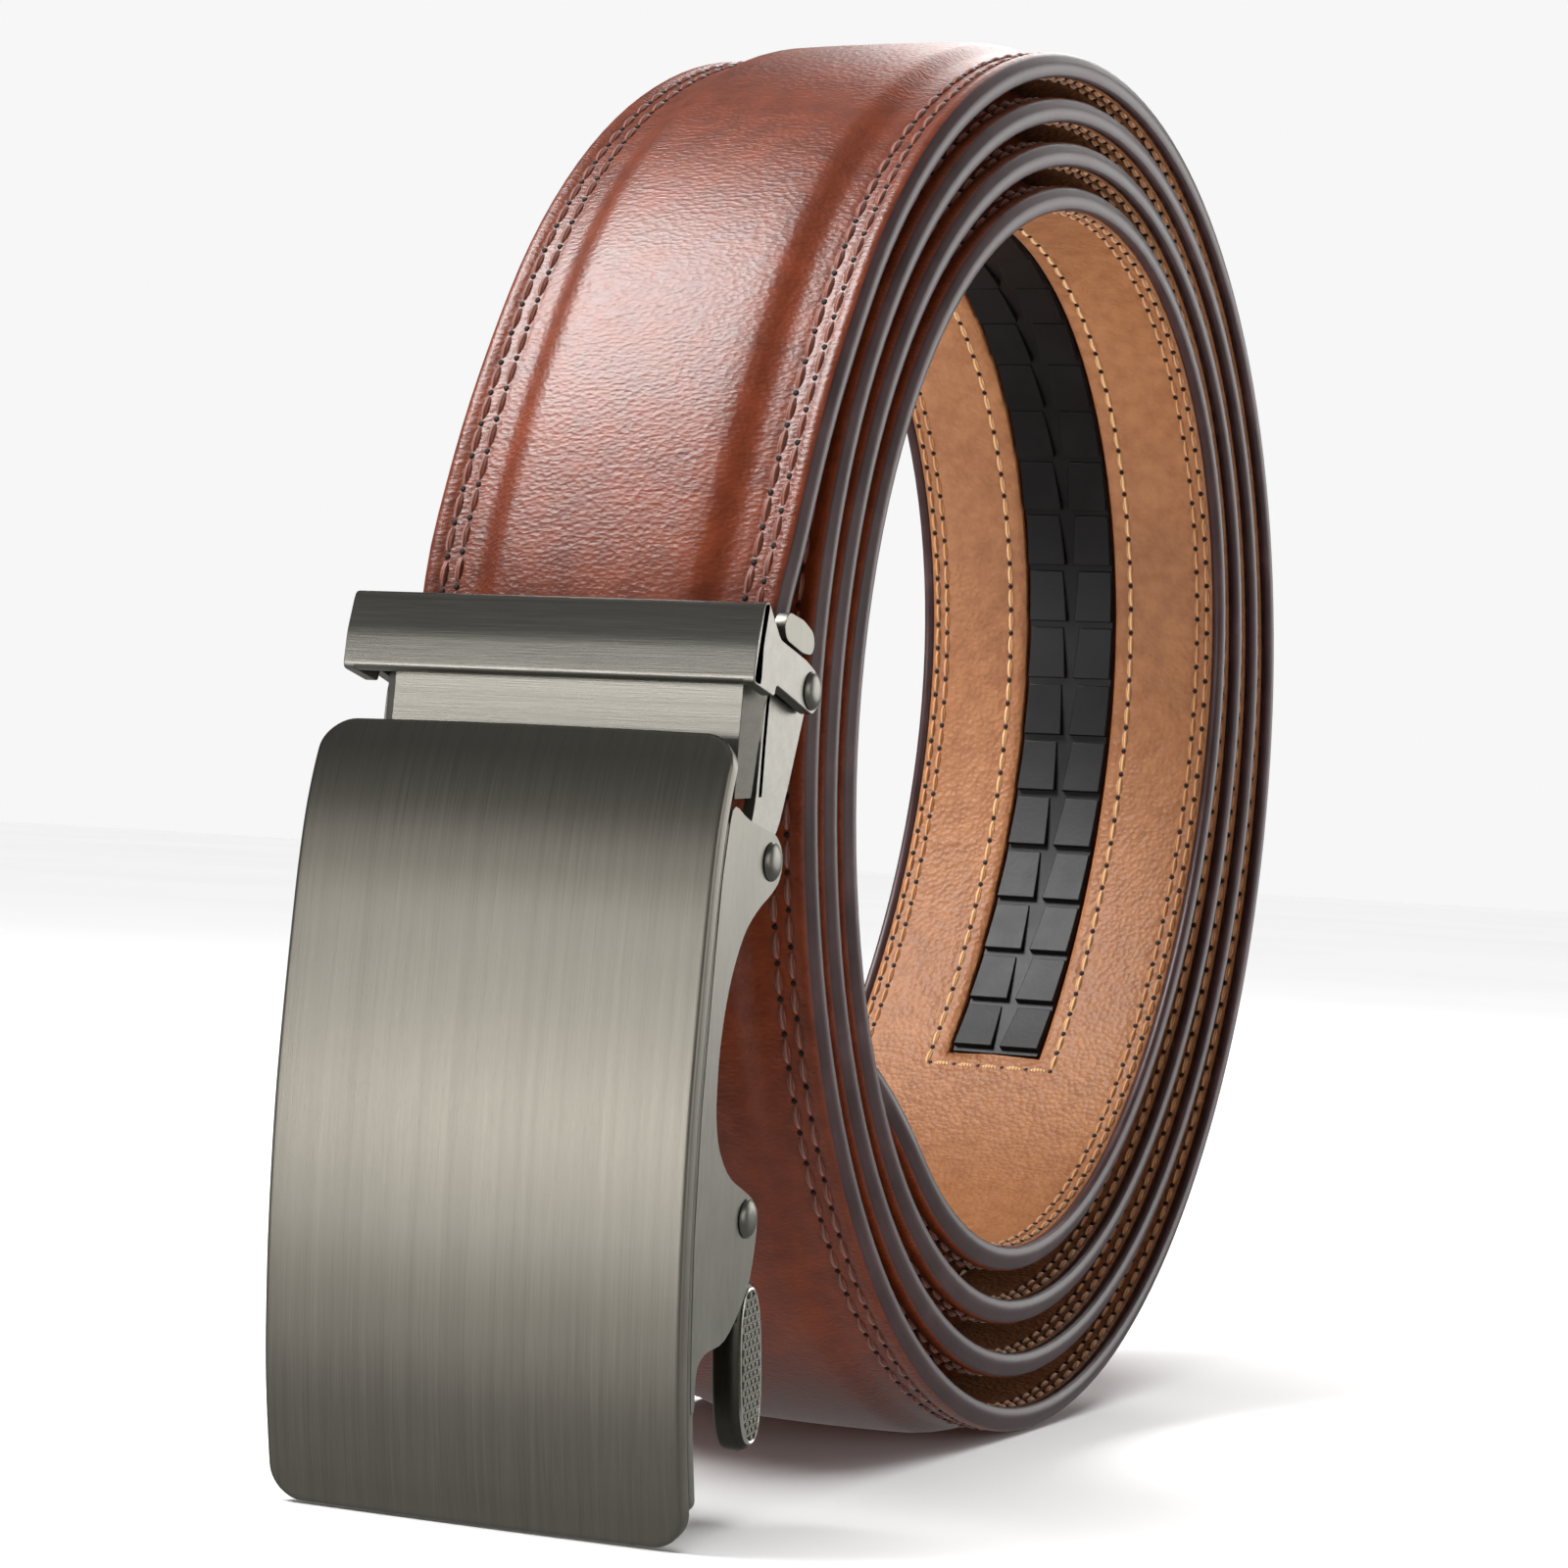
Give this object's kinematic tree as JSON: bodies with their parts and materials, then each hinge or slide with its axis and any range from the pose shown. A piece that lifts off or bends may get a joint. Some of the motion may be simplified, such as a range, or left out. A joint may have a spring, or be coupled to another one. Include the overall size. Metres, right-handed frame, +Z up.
{
  "type": "ratchet belt",
  "caption": "Leather ratchet belt rolled into a coil, with a padded strap, a toothed track in its lining and a plate buckle with clamp, loop and release lever.",
  "frame": {"origin": "middle of the flattened patch of the strap's outer face that stands on the floor", "axes": "+X along the strap's width and the coil's axis, -Y towards the buckle, +Z up"},
  "size_m": [0.0398, 0.1568, 0.1371],
  "materials": {
    "cover_leather": "pebbled cognac brown leather",
    "lining_leather": "smooth grained tan leather",
    "track_plastic": "black moulded plastic",
    "brushed_plate": "gunmetal, brushed along its height",
    "frame_steel": "light grey satin metal",
    "lever_metal": "dark gunmetal",
    "pin_steel": "domed satin rivet heads"
  },
  "bodies": {
    "strap": {"strap_cover": "cover_leather", "strap_lining": "lining_leather", "ratchet_track": "track_plastic", "clamp_body": "frame_steel", "clamp_jaw": "frame_steel", "loop_pin": "pin_steel", "hinge_pin": "pin_steel"},
    "buckle_front": {"front_plate": "brushed_plate", "buckle_frame": "frame_steel", "lever_pin": "pin_steel"},
    "loop": {"clamp_loop": "frame_steel"},
    "lever": {"release_lever": "lever_metal"}
  },
  "joints": [
    {"name": "loop_flip", "type": "hinge", "parent": "strap", "child": "loop", "pos_m": [0, -0.06704, 0.07025], "axis": [1, 0, 0], "range_deg": [0, 33]},
    {"name": "buckle_swing", "type": "hinge", "parent": "strap", "child": "buckle_front", "pos_m": [0, -0.0734, 0.05579], "axis": [1, 0, 0], "range_deg": [-5, 18]},
    {"name": "lever_press", "type": "hinge", "parent": "buckle_front", "child": "lever", "pos_m": [0, -0.07464, 0.02637], "axis": [1, 0, 0], "range_deg": [-18, 0], "stiffness_Nm_per_rad": 0.02, "springref_deg": 8.59}
  ]
}
